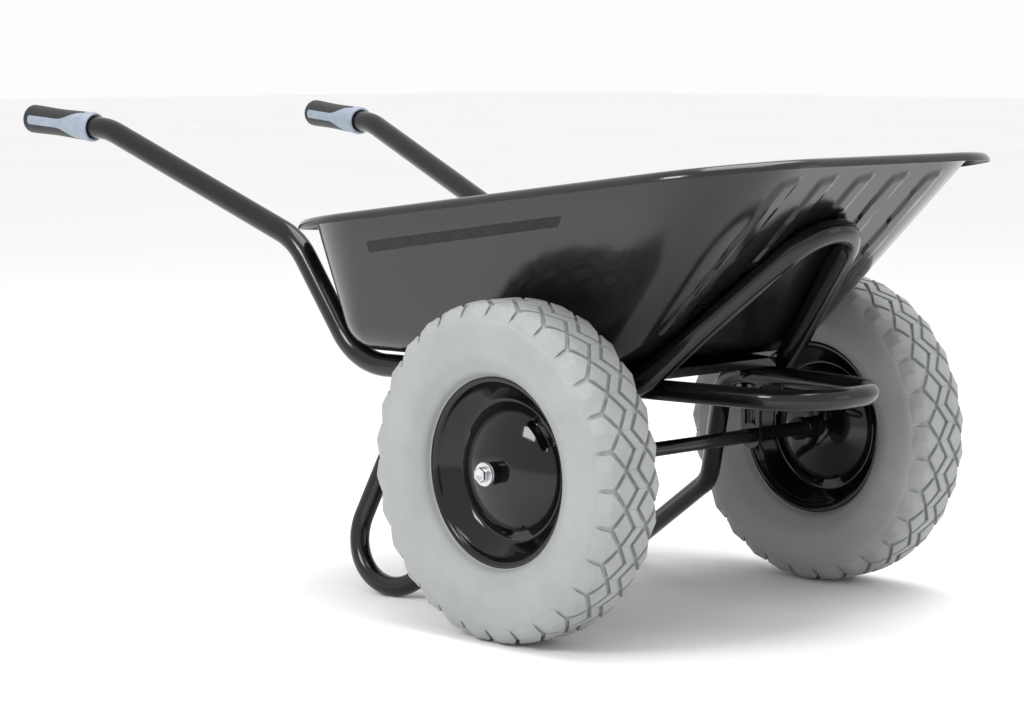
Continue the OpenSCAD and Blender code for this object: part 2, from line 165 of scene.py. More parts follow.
def linear(code):
    """The linear colour of an sRGB hex value."""
    parts = [int(code[i : i + 2], 16) / 255 for i in (1, 3, 5)]
    return [c / 12.92 if c <= 0.04045 else ((c + 0.055) / 1.055) ** 2.4 for c in parts] + [1.0]


def add(tree, kind, settings=(), **links):
    """Adds a node, sets its properties and sockets, and links its inputs."""
    made = tree.nodes.new(kind)
    for key, value in dict(settings).items():
        if key in made.inputs:
            made.inputs[key].default_value = value
        else:
            setattr(made, key, value)
    for key, source in links.items():
        tree.links.new(source, made.inputs[key.replace("_", " ")])
    return made


def shade(code, factor):
    return [c * factor for c in linear(code)[:3]] + [1.0]


def start(name):
    """An empty material with its shader, its output and the object's own coordinates."""
    material = bpy.data.materials.new(name)
    material.use_nodes = True
    tree = material.node_tree
    tree.nodes.clear()
    shader = add(tree, "ShaderNodeBsdfPrincipled")
    add(tree, "ShaderNodeOutputMaterial", Surface=shader.outputs[0])
    place = add(tree, "ShaderNodeTexCoord").outputs["Object"]
    return material, tree, shader, place


def noise(tree, place, size, detail=2.0):
    """Fractal noise whose largest spots are about that size in metres."""
    return add(
        tree, "ShaderNodeTexNoise", {"Scale": 1 / size, "Detail": detail}, Vector=place
    ).outputs["Fac"]


def ramp(tree, fac, low, high, first, second):
    made = add(tree, "ShaderNodeValToRGB", {}, Fac=fac)
    for stop, position, value in zip(made.color_ramp.elements, (low, high), (first, second)):
        stop.position = position
        stop.color = value
    return made.outputs["Color"]


def grey(value):
    return (value, value, value, 1.0)


def bump(tree, shader, height, distance, strength=1.0):
    made = add(tree, "ShaderNodeBump", {"Distance": distance, "Strength": strength}, Height=height)
    tree.links.new(made.outputs["Normal"], shader.inputs["Normal"])


def gloss_enamel(name, code, low, high, peel, level):
    """Stoved enamel on pressed steel: deep gloss with a faint orange peel and a film of dust."""
    material, tree, shader, place = start(name)
    clouds = noise(tree, place, 0.09, 3.0)
    colour_out = ramp(tree, clouds, 0.35, 0.7, linear(code), shade(code, 1.35))
    tree.links.new(colour_out, shader.inputs["Base Color"])
    smear = noise(tree, place, 0.022, 4.0)
    tree.links.new(ramp(tree, smear, 0.3, 0.75, grey(low), grey(high)), shader.inputs["Roughness"])
    shader.inputs["IOR"].default_value = 1.52
    shader.inputs["Specular IOR Level"].default_value = level
    # Orange peel has waves of about 3 mm, a few hundredths of a millimetre high
    bump(tree, shader, noise(tree, place, 0.003, 1.0), peel)
    return material


def powder_coat(name, code):
    """Gloss powder coat on tube: a fine even texture of about a millimetre."""
    material, tree, shader, place = start(name)
    clouds = noise(tree, place, 0.05, 3.0)
    tree.links.new(
        ramp(tree, clouds, 0.35, 0.7, linear(code), shade(code, 1.5)), shader.inputs["Base Color"]
    )
    tree.links.new(
        ramp(tree, noise(tree, place, 0.015, 3.0), 0.3, 0.7, grey(0.1), grey(0.17)),
        shader.inputs["Roughness"],
    )
    shader.inputs["IOR"].default_value = 1.5
    shader.inputs["Specular IOR Level"].default_value = 0.42
    bump(tree, shader, noise(tree, place, 0.0012, 1.0), 0.000005)
    return material


def foam_rubber(name, code):
    """Self-skinned polyurethane foam: matt, slightly waxy, with mould flow marks, pores and painted
    shade in the pores.
    """
    material, tree, shader, place = start(name)
    flow = noise(tree, place, 0.045, 4.0)
    pores = noise(tree, place, 0.0016, 2.0)
    body = ramp(tree, flow, 0.3, 0.72, shade(code, 0.93), shade(code, 1.04))
    # The pits of the pore bump are painted up to an eighth darker: painted shade in the pores
    pore_shade = ramp(tree, pores, 0.28, 0.42, grey(0.88), grey(1.0))
    mixed = add(tree, "ShaderNodeMix", {"data_type": "RGBA", "blend_type": "MULTIPLY"})
    mixed.inputs[0].default_value = 1.0
    tree.links.new(body, mixed.inputs[6])
    tree.links.new(pore_shade, mixed.inputs[7])
    tree.links.new(mixed.outputs[2], shader.inputs["Base Color"])
    tree.links.new(
        ramp(tree, noise(tree, place, 0.02), 0.3, 0.7, grey(0.48), grey(0.62)),
        shader.inputs["Roughness"],
    )
    shader.inputs["IOR"].default_value = 1.48
    shader.inputs["Subsurface Weight"].default_value = 0.05
    shader.inputs["Subsurface Radius"].default_value = (0.004, 0.004, 0.004)
    bump(tree, shader, pores, 0.00008)
    return material


def zinc_plate(name, code):
    """Bright zinc on turned steel: metallic, with a fine streak of about 0.5 mm and dull spots."""
    material, tree, shader, place = start(name)
    spots = noise(tree, place, 0.006, 3.0)
    tree.links.new(
        ramp(tree, spots, 0.3, 0.7, shade(code, 0.82), linear(code)), shader.inputs["Base Color"]
    )
    shader.inputs["Metallic"].default_value = 1.0
    tree.links.new(
        ramp(tree, noise(tree, place, 0.003), 0.3, 0.7, grey(0.12), grey(0.24)),
        shader.inputs["Roughness"],
    )
    bump(tree, shader, noise(tree, place, 0.0005, 1.0), 0.00001)
    return material


def moulded(name, code, rough, grain, height, sheen=0.0):
    """Moulded rubber or plastic with the fine spark-eroded grain of its mould."""
    material, tree, shader, place = start(name)
    cloud = noise(tree, place, 0.012, 3.0)
    tree.links.new(
        ramp(tree, cloud, 0.3, 0.7, shade(code, 0.9), shade(code, 1.1)), shader.inputs["Base Color"]
    )
    tree.links.new(
        ramp(tree, noise(tree, place, 0.006), 0.3, 0.7, grey(rough - 0.06), grey(rough + 0.06)),
        shader.inputs["Roughness"],
    )
    shader.inputs["IOR"].default_value = 1.5
    shader.inputs["Sheen Weight"].default_value = sheen
    bump(tree, shader, noise(tree, place, grain, 2.0), height)
    return material


def paint(obj, material):
    obj.data.materials.clear()
    obj.data.materials.append(material)


# ---------- Modelling ----------


def deselect():
    if bpy.context.object and bpy.context.object.mode != "OBJECT":
        bpy.ops.object.mode_set(mode="OBJECT")
    bpy.ops.object.select_all(action="DESELECT")


def only(obj):
    deselect()
    obj.select_set(True)
    bpy.context.view_layer.objects.active = obj


def shaped_grid(name, columns, rows, place, closed=False):
    """A grid whose points are put in place by their share of its width and height."""
    deselect()
    bpy.ops.mesh.primitive_grid_add(x_subdivisions=columns, y_subdivisions=rows, size=1)
    obj = bpy.context.object
    obj.name = obj.data.name = name
    for vertex in obj.data.vertices:
        u, v = vertex.co.x + 0.5, vertex.co.y + 0.5
        vertex.co = place(min(max(u, 0), 1), min(max(v, 0), 1))
    if closed:
        weld(obj)
    return obj


def weld(obj, distance=1e-6):
    only(obj)
    bpy.ops.object.mode_set(mode="EDIT")
    bpy.ops.mesh.select_all(action="SELECT")
    bpy.ops.mesh.remove_doubles(threshold=distance)
    bpy.ops.object.mode_set(mode="OBJECT")


def turn_outwards(obj):
    only(obj)
    bpy.ops.object.mode_set(mode="EDIT")
    bpy.ops.mesh.select_all(action="SELECT")
    bpy.ops.mesh.normals_make_consistent(inside=False)
    bpy.ops.object.mode_set(mode="OBJECT")


def modify(obj, kind, **settings):
    """Adds a modifier with its settings and applies it."""
    only(obj)
    made = obj.modifiers.new(kind.title(), kind)
    for key, value in settings.items():
        setattr(made, key, value)
    bpy.ops.object.modifier_apply(modifier=made.name)


# Radius of the pinhole that stays round the axis of a solid turned piece
PINHOLE = 0.0001


def turned(name, outline, centre, steps=96, side=1):
    """A closed outline of radius and offset along the axle, turned round the axle's line."""
    deselect()
    bpy.ops.mesh.primitive_circle_add(vertices=len(outline), fill_type="NOTHING")
    obj = bpy.context.object
    obj.name = obj.data.name = name
    for vertex, (radius, offset) in zip(obj.data.vertices, outline):
        vertex.co = (centre.x, centre.y + side * offset, centre.z + radius)
    only(obj)
    bpy.ops.object.mode_set(mode="EDIT")
    bpy.ops.mesh.select_all(action="SELECT")
    bpy.ops.mesh.spin(steps=steps, angle=2 * math.pi, center=centre, axis=(0, 1, 0))
    bpy.ops.mesh.select_all(action="SELECT")
    bpy.ops.mesh.remove_doubles(threshold=1e-6)
    bpy.ops.mesh.normals_make_consistent(inside=False)
    bpy.ops.object.mode_set(mode="OBJECT")
    return obj


def smooth(obj, degrees=35):
    only(obj)
    bpy.ops.object.shade_smooth_by_angle(angle=math.radians(degrees))


def join(objects, name):
    deselect()
    for obj in objects:
        obj.select_set(True)
    bpy.context.view_layer.objects.active = objects[0]
    bpy.ops.object.join()
    joined = bpy.context.object
    joined.name = joined.data.name = name
    return joined


def settle(obj):
    """Puts the piece's place into its mesh and its origin on the world's."""
    only(obj)
    bpy.ops.object.transform_apply(location=True, rotation=True, scale=True)


def hand_over(obj, body, slot, *nodes):
    settle(obj)
    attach(obj, body)
    if nodes:
        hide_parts(*nodes)


def walk(points, distance):
    """The point at that distance along a line of points, and the line's direction there."""
    for a, b in zip(points, points[1:]):
        step = (b - a).length
        if distance <= step or b is points[-1]:
            return a + (b - a) * (distance / step), (b - a).normalized()
        distance -= step


def ease(x):
    x = min(max(x, 0), 1)
    return x * x * (3 - 2 * x)


# ---------- Tray ----------


def corner(a, b, c, radius, steps):
    """Points of the bend of that radius from the line a-b onto the line b-c, in plan."""
    back, ahead = (a - b).normalized(), (c - b).normalized()
    turn = math.pi - back.angle(ahead)
    centre = b + (back + ahead).normalized() * (radius / math.cos(turn / 2))
    first = b + back * (radius * math.tan(turn / 2)) - centre
    return [centre + Matrix.Rotation(-turn * k / steps, 2) @ first for k in range(steps + 1)]


def plan(rear, front, half_rear, half_front, r_rear, r_front, inset, steps):
    """A tray outline in plan, from the middle of the rear round the left side.

    It has the same number of points at every height, so the rings can be joined.
    """
    rear_n, side_n, front_n, bend_n = (steps[key] for key in ("rear", "side", "nose", "corner"))
    a, b = Vector((rear + inset, 0)), Vector((rear + inset, half_rear - inset))
    c, d = Vector((front - inset, half_front - inset)), Vector((front - inset, 0))
    first = corner(a, b, c, r_rear - inset, bend_n)
    second = corner(b, c, d, r_front - inset, bend_n)
    half = [a.lerp(first[0], k / rear_n) for k in range(rear_n)] + first[:-1]
    half += [first[-1].lerp(second[0], k / side_n) for k in range(side_n)] + second[:-1]
    half += [second[-1].lerp(d, k / front_n) for k in range(front_n + 1)]
    return half + [Vector((p.x, -p.y)) for p in half[-2::-1]]


# Points of the tray's outline. The nose has most, because the ribs are pressed there.
TRAY_STEPS = {"rear": 10, "side": 14, "nose": 44, "corner": 36}
# Rings in the bend from the floor, in the wall and in the lip
TRAY_ROWS = (8, 74, 14)
# Heights at which the middle rib, its neighbours and the outer ribs end, clear of the nose support
RIB_FEET = (0.494, 0.428, 0.348)
# Widths over which a rib rises at its sides, its upper end and its foot
RIB_FLANK, RIB_HEAD_RUN, RIB_FOOT_RUN = 0.003, 0.005, 0.010
# Rise of a rib's upper end across it, and how far behind the nose wall's face the ribs run out
RIB_TOP_SLANT, NOSE_REACH = 0.22, 0.022
# Clearance of the side strips from the wall, and their thickness
STRIP_LIFT, STRIP_T = 0.0003, 0.0004


class BARROW_OT_tray(bpy.types.Operator):
    """The pressed tray: one sheet with a flat floor, flared walls, five ribs and a rolled lip"""

    bl_idname = "barrow.tray"
    bl_label = "Tray"

    def execute(self, context):
        s = context.scene.barrow_tray
        rim_front = (s.floor_front + s.nose_lean * (s.rim_z - s.floor_z)) / (
            1 - s.nose_lean * s.rim_slope
        )
        outlines = {}

        def outline(inset):
            """The floor's and the rim's outline, that far inside the sheet's outer face."""
            if inset not in outlines:
                low = plan(-s.floor_rear, s.floor_front, s.floor_half_rear, s.floor_half_front,
                           s.floor_r_rear, s.floor_r_front, inset, TRAY_STEPS)
                high = plan(-s.rim_rear, rim_front, s.rim_half_rear, s.rim_half_front,
                            s.rim_r_rear, s.rim_r_front, inset, TRAY_STEPS)
                outlines[inset] = low, high
            return outlines[inset]

        level = outline(0.0)
        count = len(level[0]) - 1

        def wall(i, up, inset=0.0):
            """A point of the wall, that high above the floor's underside."""
            low, high = (line[i] for line in outline(inset))
            rim = s.rim_z + s.rim_slope * level[1][i].x - s.floor_z
            p = low.lerp(high, up / rim)
            return Vector((p.x, p.y, s.floor_z + up))

        def lip(i, angle):
            """A point of the rolled lip, from the wall over the top to the lip's edge."""
            reach = (s.lip_w - s.sheet) / 2 * (1 - math.cos(angle))
            below = s.lip_h - (s.lip_h - s.sheet) * math.sin(angle)
            lean = max(0, math.cos(angle))
            low, high = (line[i] for line in outline(-reach))
            rim = s.rim_z + s.rim_slope * high.x
            p = low.lerp(high, 1 - lean * below / (rim - s.floor_z))
            return Vector((p.x, p.y, rim - below))

        bend_n, wall_n, lip_n = TRAY_ROWS
        rows = sum(TRAY_ROWS)
        nose_out = Vector((1, 0, -s.nose_lean)).normalized()

        def rib(p):
            """How far a point of the nose wall is pressed out by the ribs."""
            rib_number = min(max(round(p.y / s.rib_pitch), -2), 2)
            nearest = rib_number * s.rib_pitch
            foot = RIB_FEET[abs(rib_number)]
            across = ease((s.rib_w / 2 + RIB_FLANK / 2 - abs(p.y - nearest)) / RIB_FLANK)
            top = s.rib_top + RIB_TOP_SLANT * (p.y - nearest)
            up = ease((top - p.z) / RIB_HEAD_RUN) * ease((p.z - foot) / RIB_FOOT_RUN)
            ahead = s.floor_front + s.nose_lean * (p.z - s.floor_z)
            on_nose = ease(1 - (ahead - p.x) / NOSE_REACH)
            return s.rib_h * across * up * on_nose

        def place(u, v):
            i, row = round(u * count), round(v * rows)
            i %= count
            if row <= bend_n:
                a = math.pi / 2 * row / bend_n
                p = wall(i, s.floor_bend * (1 - math.cos(a)), s.floor_bend * (1 - math.sin(a)))
            elif row <= bend_n + wall_n:
                p = wall(i, s.floor_bend).lerp(lip(i, 0), (row - bend_n) / wall_n)
                p += nose_out * rib(p)
            else:
                p = lip(i, math.pi * (row - bend_n - wall_n) / lip_n)
            return (AXLE.x + p.x, p.y, p.z)

        tray = shaped_grid("tray_shell", count, rows, place, closed=True)
        only(tray)
        bpy.ops.object.mode_set(mode="EDIT")
        mesh = bmesh.from_edit_mesh(tray.data)
        for edge in mesh.edges:
            edge.select = edge.is_boundary and edge.verts[0].co.z < s.floor_z + 1e-5
        bmesh.update_edit_mesh(tray.data)
        bpy.ops.mesh.edge_face_add()
        bpy.ops.mesh.select_all(action="SELECT")
        bpy.ops.mesh.normals_make_consistent(inside=False)
        bpy.ops.object.mode_set(mode="OBJECT")
        down = min(tray.data.polygons, key=lambda f: f.center.z).normal.z
        modify(tray, "SOLIDIFY", thickness=s.sheet, offset=-1 if down < 0 else 1)
        turn_outwards(tray)
        smooth(tray, 40)
        paint(tray, bpy.data.materials["Stoved gloss enamel"])
        hand_over(tray, "frame", "tray_paint", "tray")

        # A matt strip lies along each side wall, level with the rim
        for name, side in SIDES.items():

            def on_side(u, v):
                along = s.strip_from + (s.strip_to - s.strip_from) * u
                low = Vector((-s.floor_rear, s.floor_half_rear)).lerp(
                    Vector((s.floor_front, s.floor_half_front)), along)
                high = Vector((-s.rim_rear, s.rim_half_rear)).lerp(
                    Vector((rim_front, s.rim_half_front)), along)
                rim = s.rim_z + s.rim_slope * high.x
                below = s.strip_below + s.strip_w * (1 - v)
                p = low.lerp(high, 1 - below / (rim - s.floor_z))
                return AXLE.x + p.x, side * (p.y + STRIP_LIFT), rim - below

            strip = shaped_grid(f"side_strip_{name}", 60, 6, on_side)
            out = strip.data.polygons[0].normal.y * side > 0
            modify(strip, "SOLIDIFY", thickness=STRIP_T, offset=-1 if out else 1)
            modify(strip, "BEVEL", width=0.00015, segments=1, limit_method="ANGLE",
                   angle_limit=math.radians(40))
            turn_outwards(strip)
            paint(strip, bpy.data.materials["Matt black vinyl"])
            hand_over(strip, "frame", "tray_paint")
        return {"FINISHED"}


# ---------- Wheels ----------

# Section of the tyre from the crown to the bead: radius and offset in millimetres
TYRE_LINE = [
    (200, 0), (200, 21.4), (199, 28), (197, 33.7), (193.5, 38.6), (188, 42.8), (181, 46.6),
    (174, 49.2), (165, 50.6), (156, 51), (148, 50.8), (142, 50.2), (136, 48.4), (131, 45.9),
    (124, 41.6), (118, 37.6), (114.2, 33), (113.2, 28.6), (112.6, 27), (106, 24.4),
]


def tyre_line():
    return [Vector((r * MM, y * MM)) for r, y in TYRE_LINE]


def tread_drop(s, depth):
    """Depth of the grooves' floor under the blocks, which runs out on the shoulder."""
    return depth * (1 - ease((s - 0.045) / 0.0125))


class BARROW_OT_tyres(bpy.types.Operator):
    """The solid foam tyres: a smooth wall, two rows of diamond blocks and shoulder lugs"""

    bl_idname = "barrow.tyres"
    bl_label = "Tyres"

    def block(self, name, centre, side, angle, spot, cells, settings):
        """One raised block; spot gives its places along, round and above the tyre's section."""
        line = tyre_line()
        crown = line[0].x

        def place(u, v):
            s, t, rise = spot(u, v)
            (r, y), along = walk(line, abs(s))
            r += along.y * rise
            y -= along.x * rise
            a = angle + t / crown
            return (centre.x + r * math.sin(a), centre.y + side * math.copysign(y, s),
                    centre.z + r * math.cos(a))

        made = shaped_grid(name, *cells, place)
        middle_face = made.data.polygons[len(made.data.polygons) // 2]
        around = Vector((math.sin(angle), 0, math.cos(angle)))
        if middle_face.normal.dot(around) < 0:
            only(made)
            bpy.ops.object.mode_set(mode="EDIT")
            bpy.ops.mesh.select_all(action="SELECT")
            bpy.ops.mesh.flip_normals()
            bpy.ops.object.mode_set(mode="OBJECT")
        modify(made, "SOLIDIFY", thickness=settings.groove_depth + 0.0015, offset=-1)
        modify(made, "BEVEL", width=0.0006, segments=1, limit_method="ANGLE",
               angle_limit=math.radians(40))
        return made

    def execute(self, context):
        s = context.scene.barrow_wheel
        for name, side in SIDES.items():
            centre = middle(f"tyre_{name}")
            line = tyre_line()
            total = sum((b - a).length for a, b in zip(line, line[1:]))
            count = 46
            half = []
            for k in range(count + 1):
                distance = total * k / count
                p, along = walk(line, distance)
                p -= Vector((along.y, -along.x)) * tread_drop(distance, s.groove_depth)
                half.append((p.x, p.y))
            outline = half + [(0.1055, 0.0)] + [(r, -y) for r, y in half[:0:-1]]
            parts = [turned(f"tyre_{name}_body", outline, centre, steps=s.pitches * 6)]
            pitch = 2 * math.pi / s.pitches
            # A cell is the diamond between the middles of its four grooves
            long = pitch * line[0].x / 2
            near, far = s.block_near, s.block_far
            wide = (far - near) / 2
            slant = math.hypot(long, wide)
            keep = 1 - s.groove_w / 2 * slant / (long * wide)
            reach = s.groove_w / 2 * slant / long

            def diamond(u, v):
                return (near + wide) + (u + v - 1) * wide * keep, (v - u) * long * keep, 0

            def lug(u, v):
                """A wedge between two diamonds, which runs out on the wall as a ridge."""
                out = near + wide + reach + (s.lug_end - near - wide - reach) * v
                edge = min((out - near - wide - reach) / wide * long, long - s.groove_w / 2)
                edge = max(edge, 0.0008) + s.groove_w * 0.42 * ease((out - 0.045) / 0.014)
                off = 2 * u - 1
                ridge = ease((out - 0.032) / 0.006) * ease((s.lug_end - out) / 0.012)
                sink = 0.0006 * ease((out - 0.050) / 0.008)
                return out, off * edge, s.lug_ridge * ridge * (1 - 2 * abs(off)) - sink

            def rib(u, v):
                """Half of one zigzag of the rib in the middle of the crown."""
                zig = near + wide * v - (near + wide / 2)
                half_rib = near + wide / 2 - reach
                return zig + (2 * u - 1) * half_rib, long * v, 0

            for face in (1, -1):
                shift = 0 if face > 0 else pitch / 2
                pieces = [
                    self.block("block", centre, side * face, shift, diamond, (4, 4), s),
                    self.block("lug", centre, side * face, shift + pitch / 2, lug, (4, 12), s),
                    self.block("rib", centre, side * face, shift, rib, (3, 4), s),
                ]
                row = join(pieces, "row")
                only(row)
                bpy.ops.object.mode_set(mode="EDIT")
                bpy.ops.mesh.select_all(action="SELECT")
                bpy.ops.mesh.spin(steps=s.pitches - 1, angle=-pitch * (s.pitches - 1), dupli=True,
                                  center=centre, axis=(0, 1, 0))
                bpy.ops.object.mode_set(mode="OBJECT")
                turn_outwards(row)
                parts.append(row)
            for part in parts[1:]:
                smooth(part, 14)
            smooth(parts[0], 50)
            tyre = join(parts, f"tyre_{name}_tread")
            paint(tyre, bpy.data.materials["Skinned polyurethane foam"])
            hand_over(tyre, f"wheel_{name}", "tyre_foam", f"tyre_{name}")
        return {"FINISHED"}


# Outer face of one rim half: radius and offset from the joint, in millimetres
RIM_LINE = [
    (109.8, 24.6), (111.2, 24.8), (112, 25.6), (111.9, 26.6), (111, 27), (108.4, 27), (106.4, 26.4),
    (104.8, 25), (103.7, 22.8), (102.6, 20.6), (100.9, 18.2), (98, 15.3), (94, 11.4), (90, 7.6),
    (87, 4.9), (85.2, 3.4), (83.6, 2.4), (82.4, 2),
]


class BARROW_OT_rims(bpy.types.Operator):
    """The pressed rim halves: curled flange, well, joint ring and a notched dome"""

    bl_idname = "barrow.rims"
    bl_label = "Rims"

    def execute(self, context):
        s = context.scene.barrow_wheel
        line = [Vector((r * MM, y * MM)) for r, y in RIM_LINE]
        hub_r, flat_r, dome_rings = 0.0134, 0.088, 52
        # Three notches, a third of a turn apart
        notches = [math.radians(a) for a in (42, 162, 282)]

        def dome(radius, angle):
            """Height of the dome over the joint ring."""
            x = min(max((s.dome_r - radius) / (s.dome_r - hub_r), 0), 1)
            height = s.dome_h * (1 - (1 - x) ** 2) ** 0.75 * ease(x / 0.02)
            for middle_angle in notches:
                off = (angle - middle_angle + math.pi) % (2 * math.pi) - math.pi
                beside = abs(off) * radius
                inside = ease((s.notch_w / 2 - beside) / 0.0022)
                open_part = ease((radius - (s.dome_r - s.notch_depth)) / 0.0022)
                height *= 1 - inside * open_part
            return height

        for name, side in SIDES.items():
            centre = middle(f"tyre_{name}")
            for half, facing in (("outer", 1), ("inner", -1)):
                columns, rows = 216, len(line) - 1 + dome_rings

                def place(u, v):
                    row, angle = round(v * rows), 2 * math.pi * u
                    if row < len(line):
                        radius, offset = line[row]
                    else:
                        # Rings lie closer together at the dome's steep foot
                        x = ((row - len(line) + 1) / dome_rings) ** 1.5
                        radius = line[-1].x + (hub_r - line[-1].x) * x
                        offset = 0.002 + dome(radius, angle)
                    # Seen from outside, the angle runs from the front over the top
                    return (centre.x + radius * math.cos(angle),
                            centre.y + side * facing * offset,
                            centre.z + radius * math.sin(angle))

                rim = shaped_grid(f"rim_{half}_{name}_pressing", columns, rows, place, closed=True)
                turn_outwards(rim)
                # The face that looks along the axle, away from the joint, is the outer one
                flat = min(rim.data.polygons,
                           key=lambda f: abs((f.center - centre).xz.length - flat_r))
                away = flat.normal.y * side * facing > 0
                modify(rim, "SOLIDIFY", thickness=s.rim_sheet - 0.0001, offset=-1 if away else 1)
                turn_outwards(rim)
                smooth(rim, 38)
                paint(rim, bpy.data.materials["Dipped gloss enamel"])
                hand_over(rim, f"wheel_{name}", "rim_paint", f"rim_{half}_{name}")
            hub = turned(f"hub_sleeve_{name}", [
                (0.0111, -0.0425), (0.0122, -0.043), (0.013, -0.0424), (0.013, -0.024),
                (0.0136, -0.021), (0.0136, 0.021), (0.013, 0.024), (0.013, 0.0424),
                (0.0122, 0.043), (0.0111, 0.0425),
            ], centre, steps=64, side=side)
            smooth(hub)
            paint(hub, bpy.data.materials["Dipped gloss enamel"])
            hand_over(hub, f"wheel_{name}", "rim_paint", f"hub_tube_{name}")
        return {"FINISHED"}


# How much smaller in radius a washer is here than in the part
WASHER_IN = 0.0028


class BARROW_OT_axle_ends(bpy.types.Operator):
    """The chamfered hexagon bolts and the washers on the axle's ends"""

    bl_idname = "barrow.axle_ends"
    bl_label = "Axle ends"

    def execute(self, context):
        for name, side in SIDES.items():
            low, high = (Vector(c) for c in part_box(f"axle_bolt_{name}"))
            outer = high.y if side > 0 else low.y
            washer_low, washer_high = (Vector(c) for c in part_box(f"axle_washer_{name}"))
            face = washer_high.y if side > 0 else washer_low.y
            radius = (washer_high.z - washer_low.z) / 2 - WASHER_IN
            thick = washer_high.y - washer_low.y
            centre = Vector((AXLE.x, face, AXLE.z))
            washer = turned(f"axle_washer_{name}_plated", [
                (0.0054, 0), (0.0054, -thick), (radius - 0.0006, -thick), (radius, 0.0006 - thick),
                (radius, -0.0009), (radius - 0.0009, 0),
            ], centre, steps=72, side=side)
            smooth(washer)
            paint(washer, bpy.data.materials["Bright zinc plate"])
            hand_over(washer, "frame", "zinc", f"axle_washer_{name}")

            head = abs(outer - face)
            across = (high.z - low.z) / 2
            deselect()
            bpy.ops.mesh.primitive_cylinder_add(
                vertices=6, radius=across / math.cos(math.pi / 6), depth=head,
                location=(AXLE.x, face + side * head / 2, AXLE.z),
                rotation=(-side * math.pi / 2, 0, 0),
            )
            bolt = bpy.context.object
            settle(bolt)
            bolt.name = bolt.data.name = f"axle_bolt_{name}_plated"
            only(bolt)
            bpy.ops.object.mode_set(mode="EDIT")
            mesh = bmesh.from_edit_mesh(bolt.data)
            for f in mesh.faces:
                f.select = f.normal.y * side > 0.9
            bmesh.update_edit_mesh(bolt.data)
            bpy.ops.mesh.inset(thickness=across * 0.17)
            bpy.ops.transform.translate(value=(0, side * 0.0001, 0))
            bpy.ops.mesh.inset(thickness=across * 0.36)
            bpy.ops.transform.translate(value=(0, -side * 0.0009, 0))
            bpy.ops.object.mode_set(mode="OBJECT")
            modify(bolt, "BEVEL", width=0.0007, segments=2, limit_method="ANGLE",
                   angle_limit=math.radians(35))
            stem = turned("stem", [
                (PINHOLE, -0.001), (0.0048, -0.001), (0.0048, 0.022), (PINHOLE, 0.022),
            ], centre, steps=24, side=-side)
            bolt = join([bolt, stem], f"axle_bolt_{name}_plated")
            turn_outwards(bolt)
            smooth(bolt)
            paint(bolt, bpy.data.materials["Bright zinc plate"])
            hand_over(bolt, "frame", "zinc", f"axle_bolt_{name}")
        return {"FINISHED"}


# ---------- Grips ----------

# Height of the inserts above the rubber, and where their flare starts along the handle
STRIPE_LIFT, FLARE_FROM = 0.0003, 0.058
# The handle's end and the start of its first bend, behind the axle, and its height there
HANDLE_END, HANDLE_BEND, HANDLE_Z = 0.985, 0.834, 0.590
# Fall of the handle towards the axle and splay of the frame towards the handles, per metre
GRIP_FALL, SPLAY = 0.081, 0.12
# Half width of the frame where its splay starts, and how far that is ahead of the axle
RAIL_HALF, SPLAY_FROM = 0.132, 0.0535


def grip_line(side):
    """The end of the handle and the direction from there to its first bend."""

    def point(behind):
        return Vector((AXLE.x - behind, side * (RAIL_HALF + SPLAY * (SPLAY_FROM + behind)),
                       HANDLE_Z - GRIP_FALL * (HANDLE_END - behind)))

    end = point(HANDLE_END)
    return end, (point(HANDLE_BEND) - end).normalized()


def on_grip(side):
    """Frame of a grip: Z along it to the front, X up and Y to the side."""
    end, ahead = grip_line(side)
    up = (Vector((0, 0, 1)) - ahead * ahead.z).normalized()
    across = ahead.cross(up)
    turn = Matrix((up, across, ahead)).transposed().to_4x4()
    return Matrix.Translation(end) @ turn


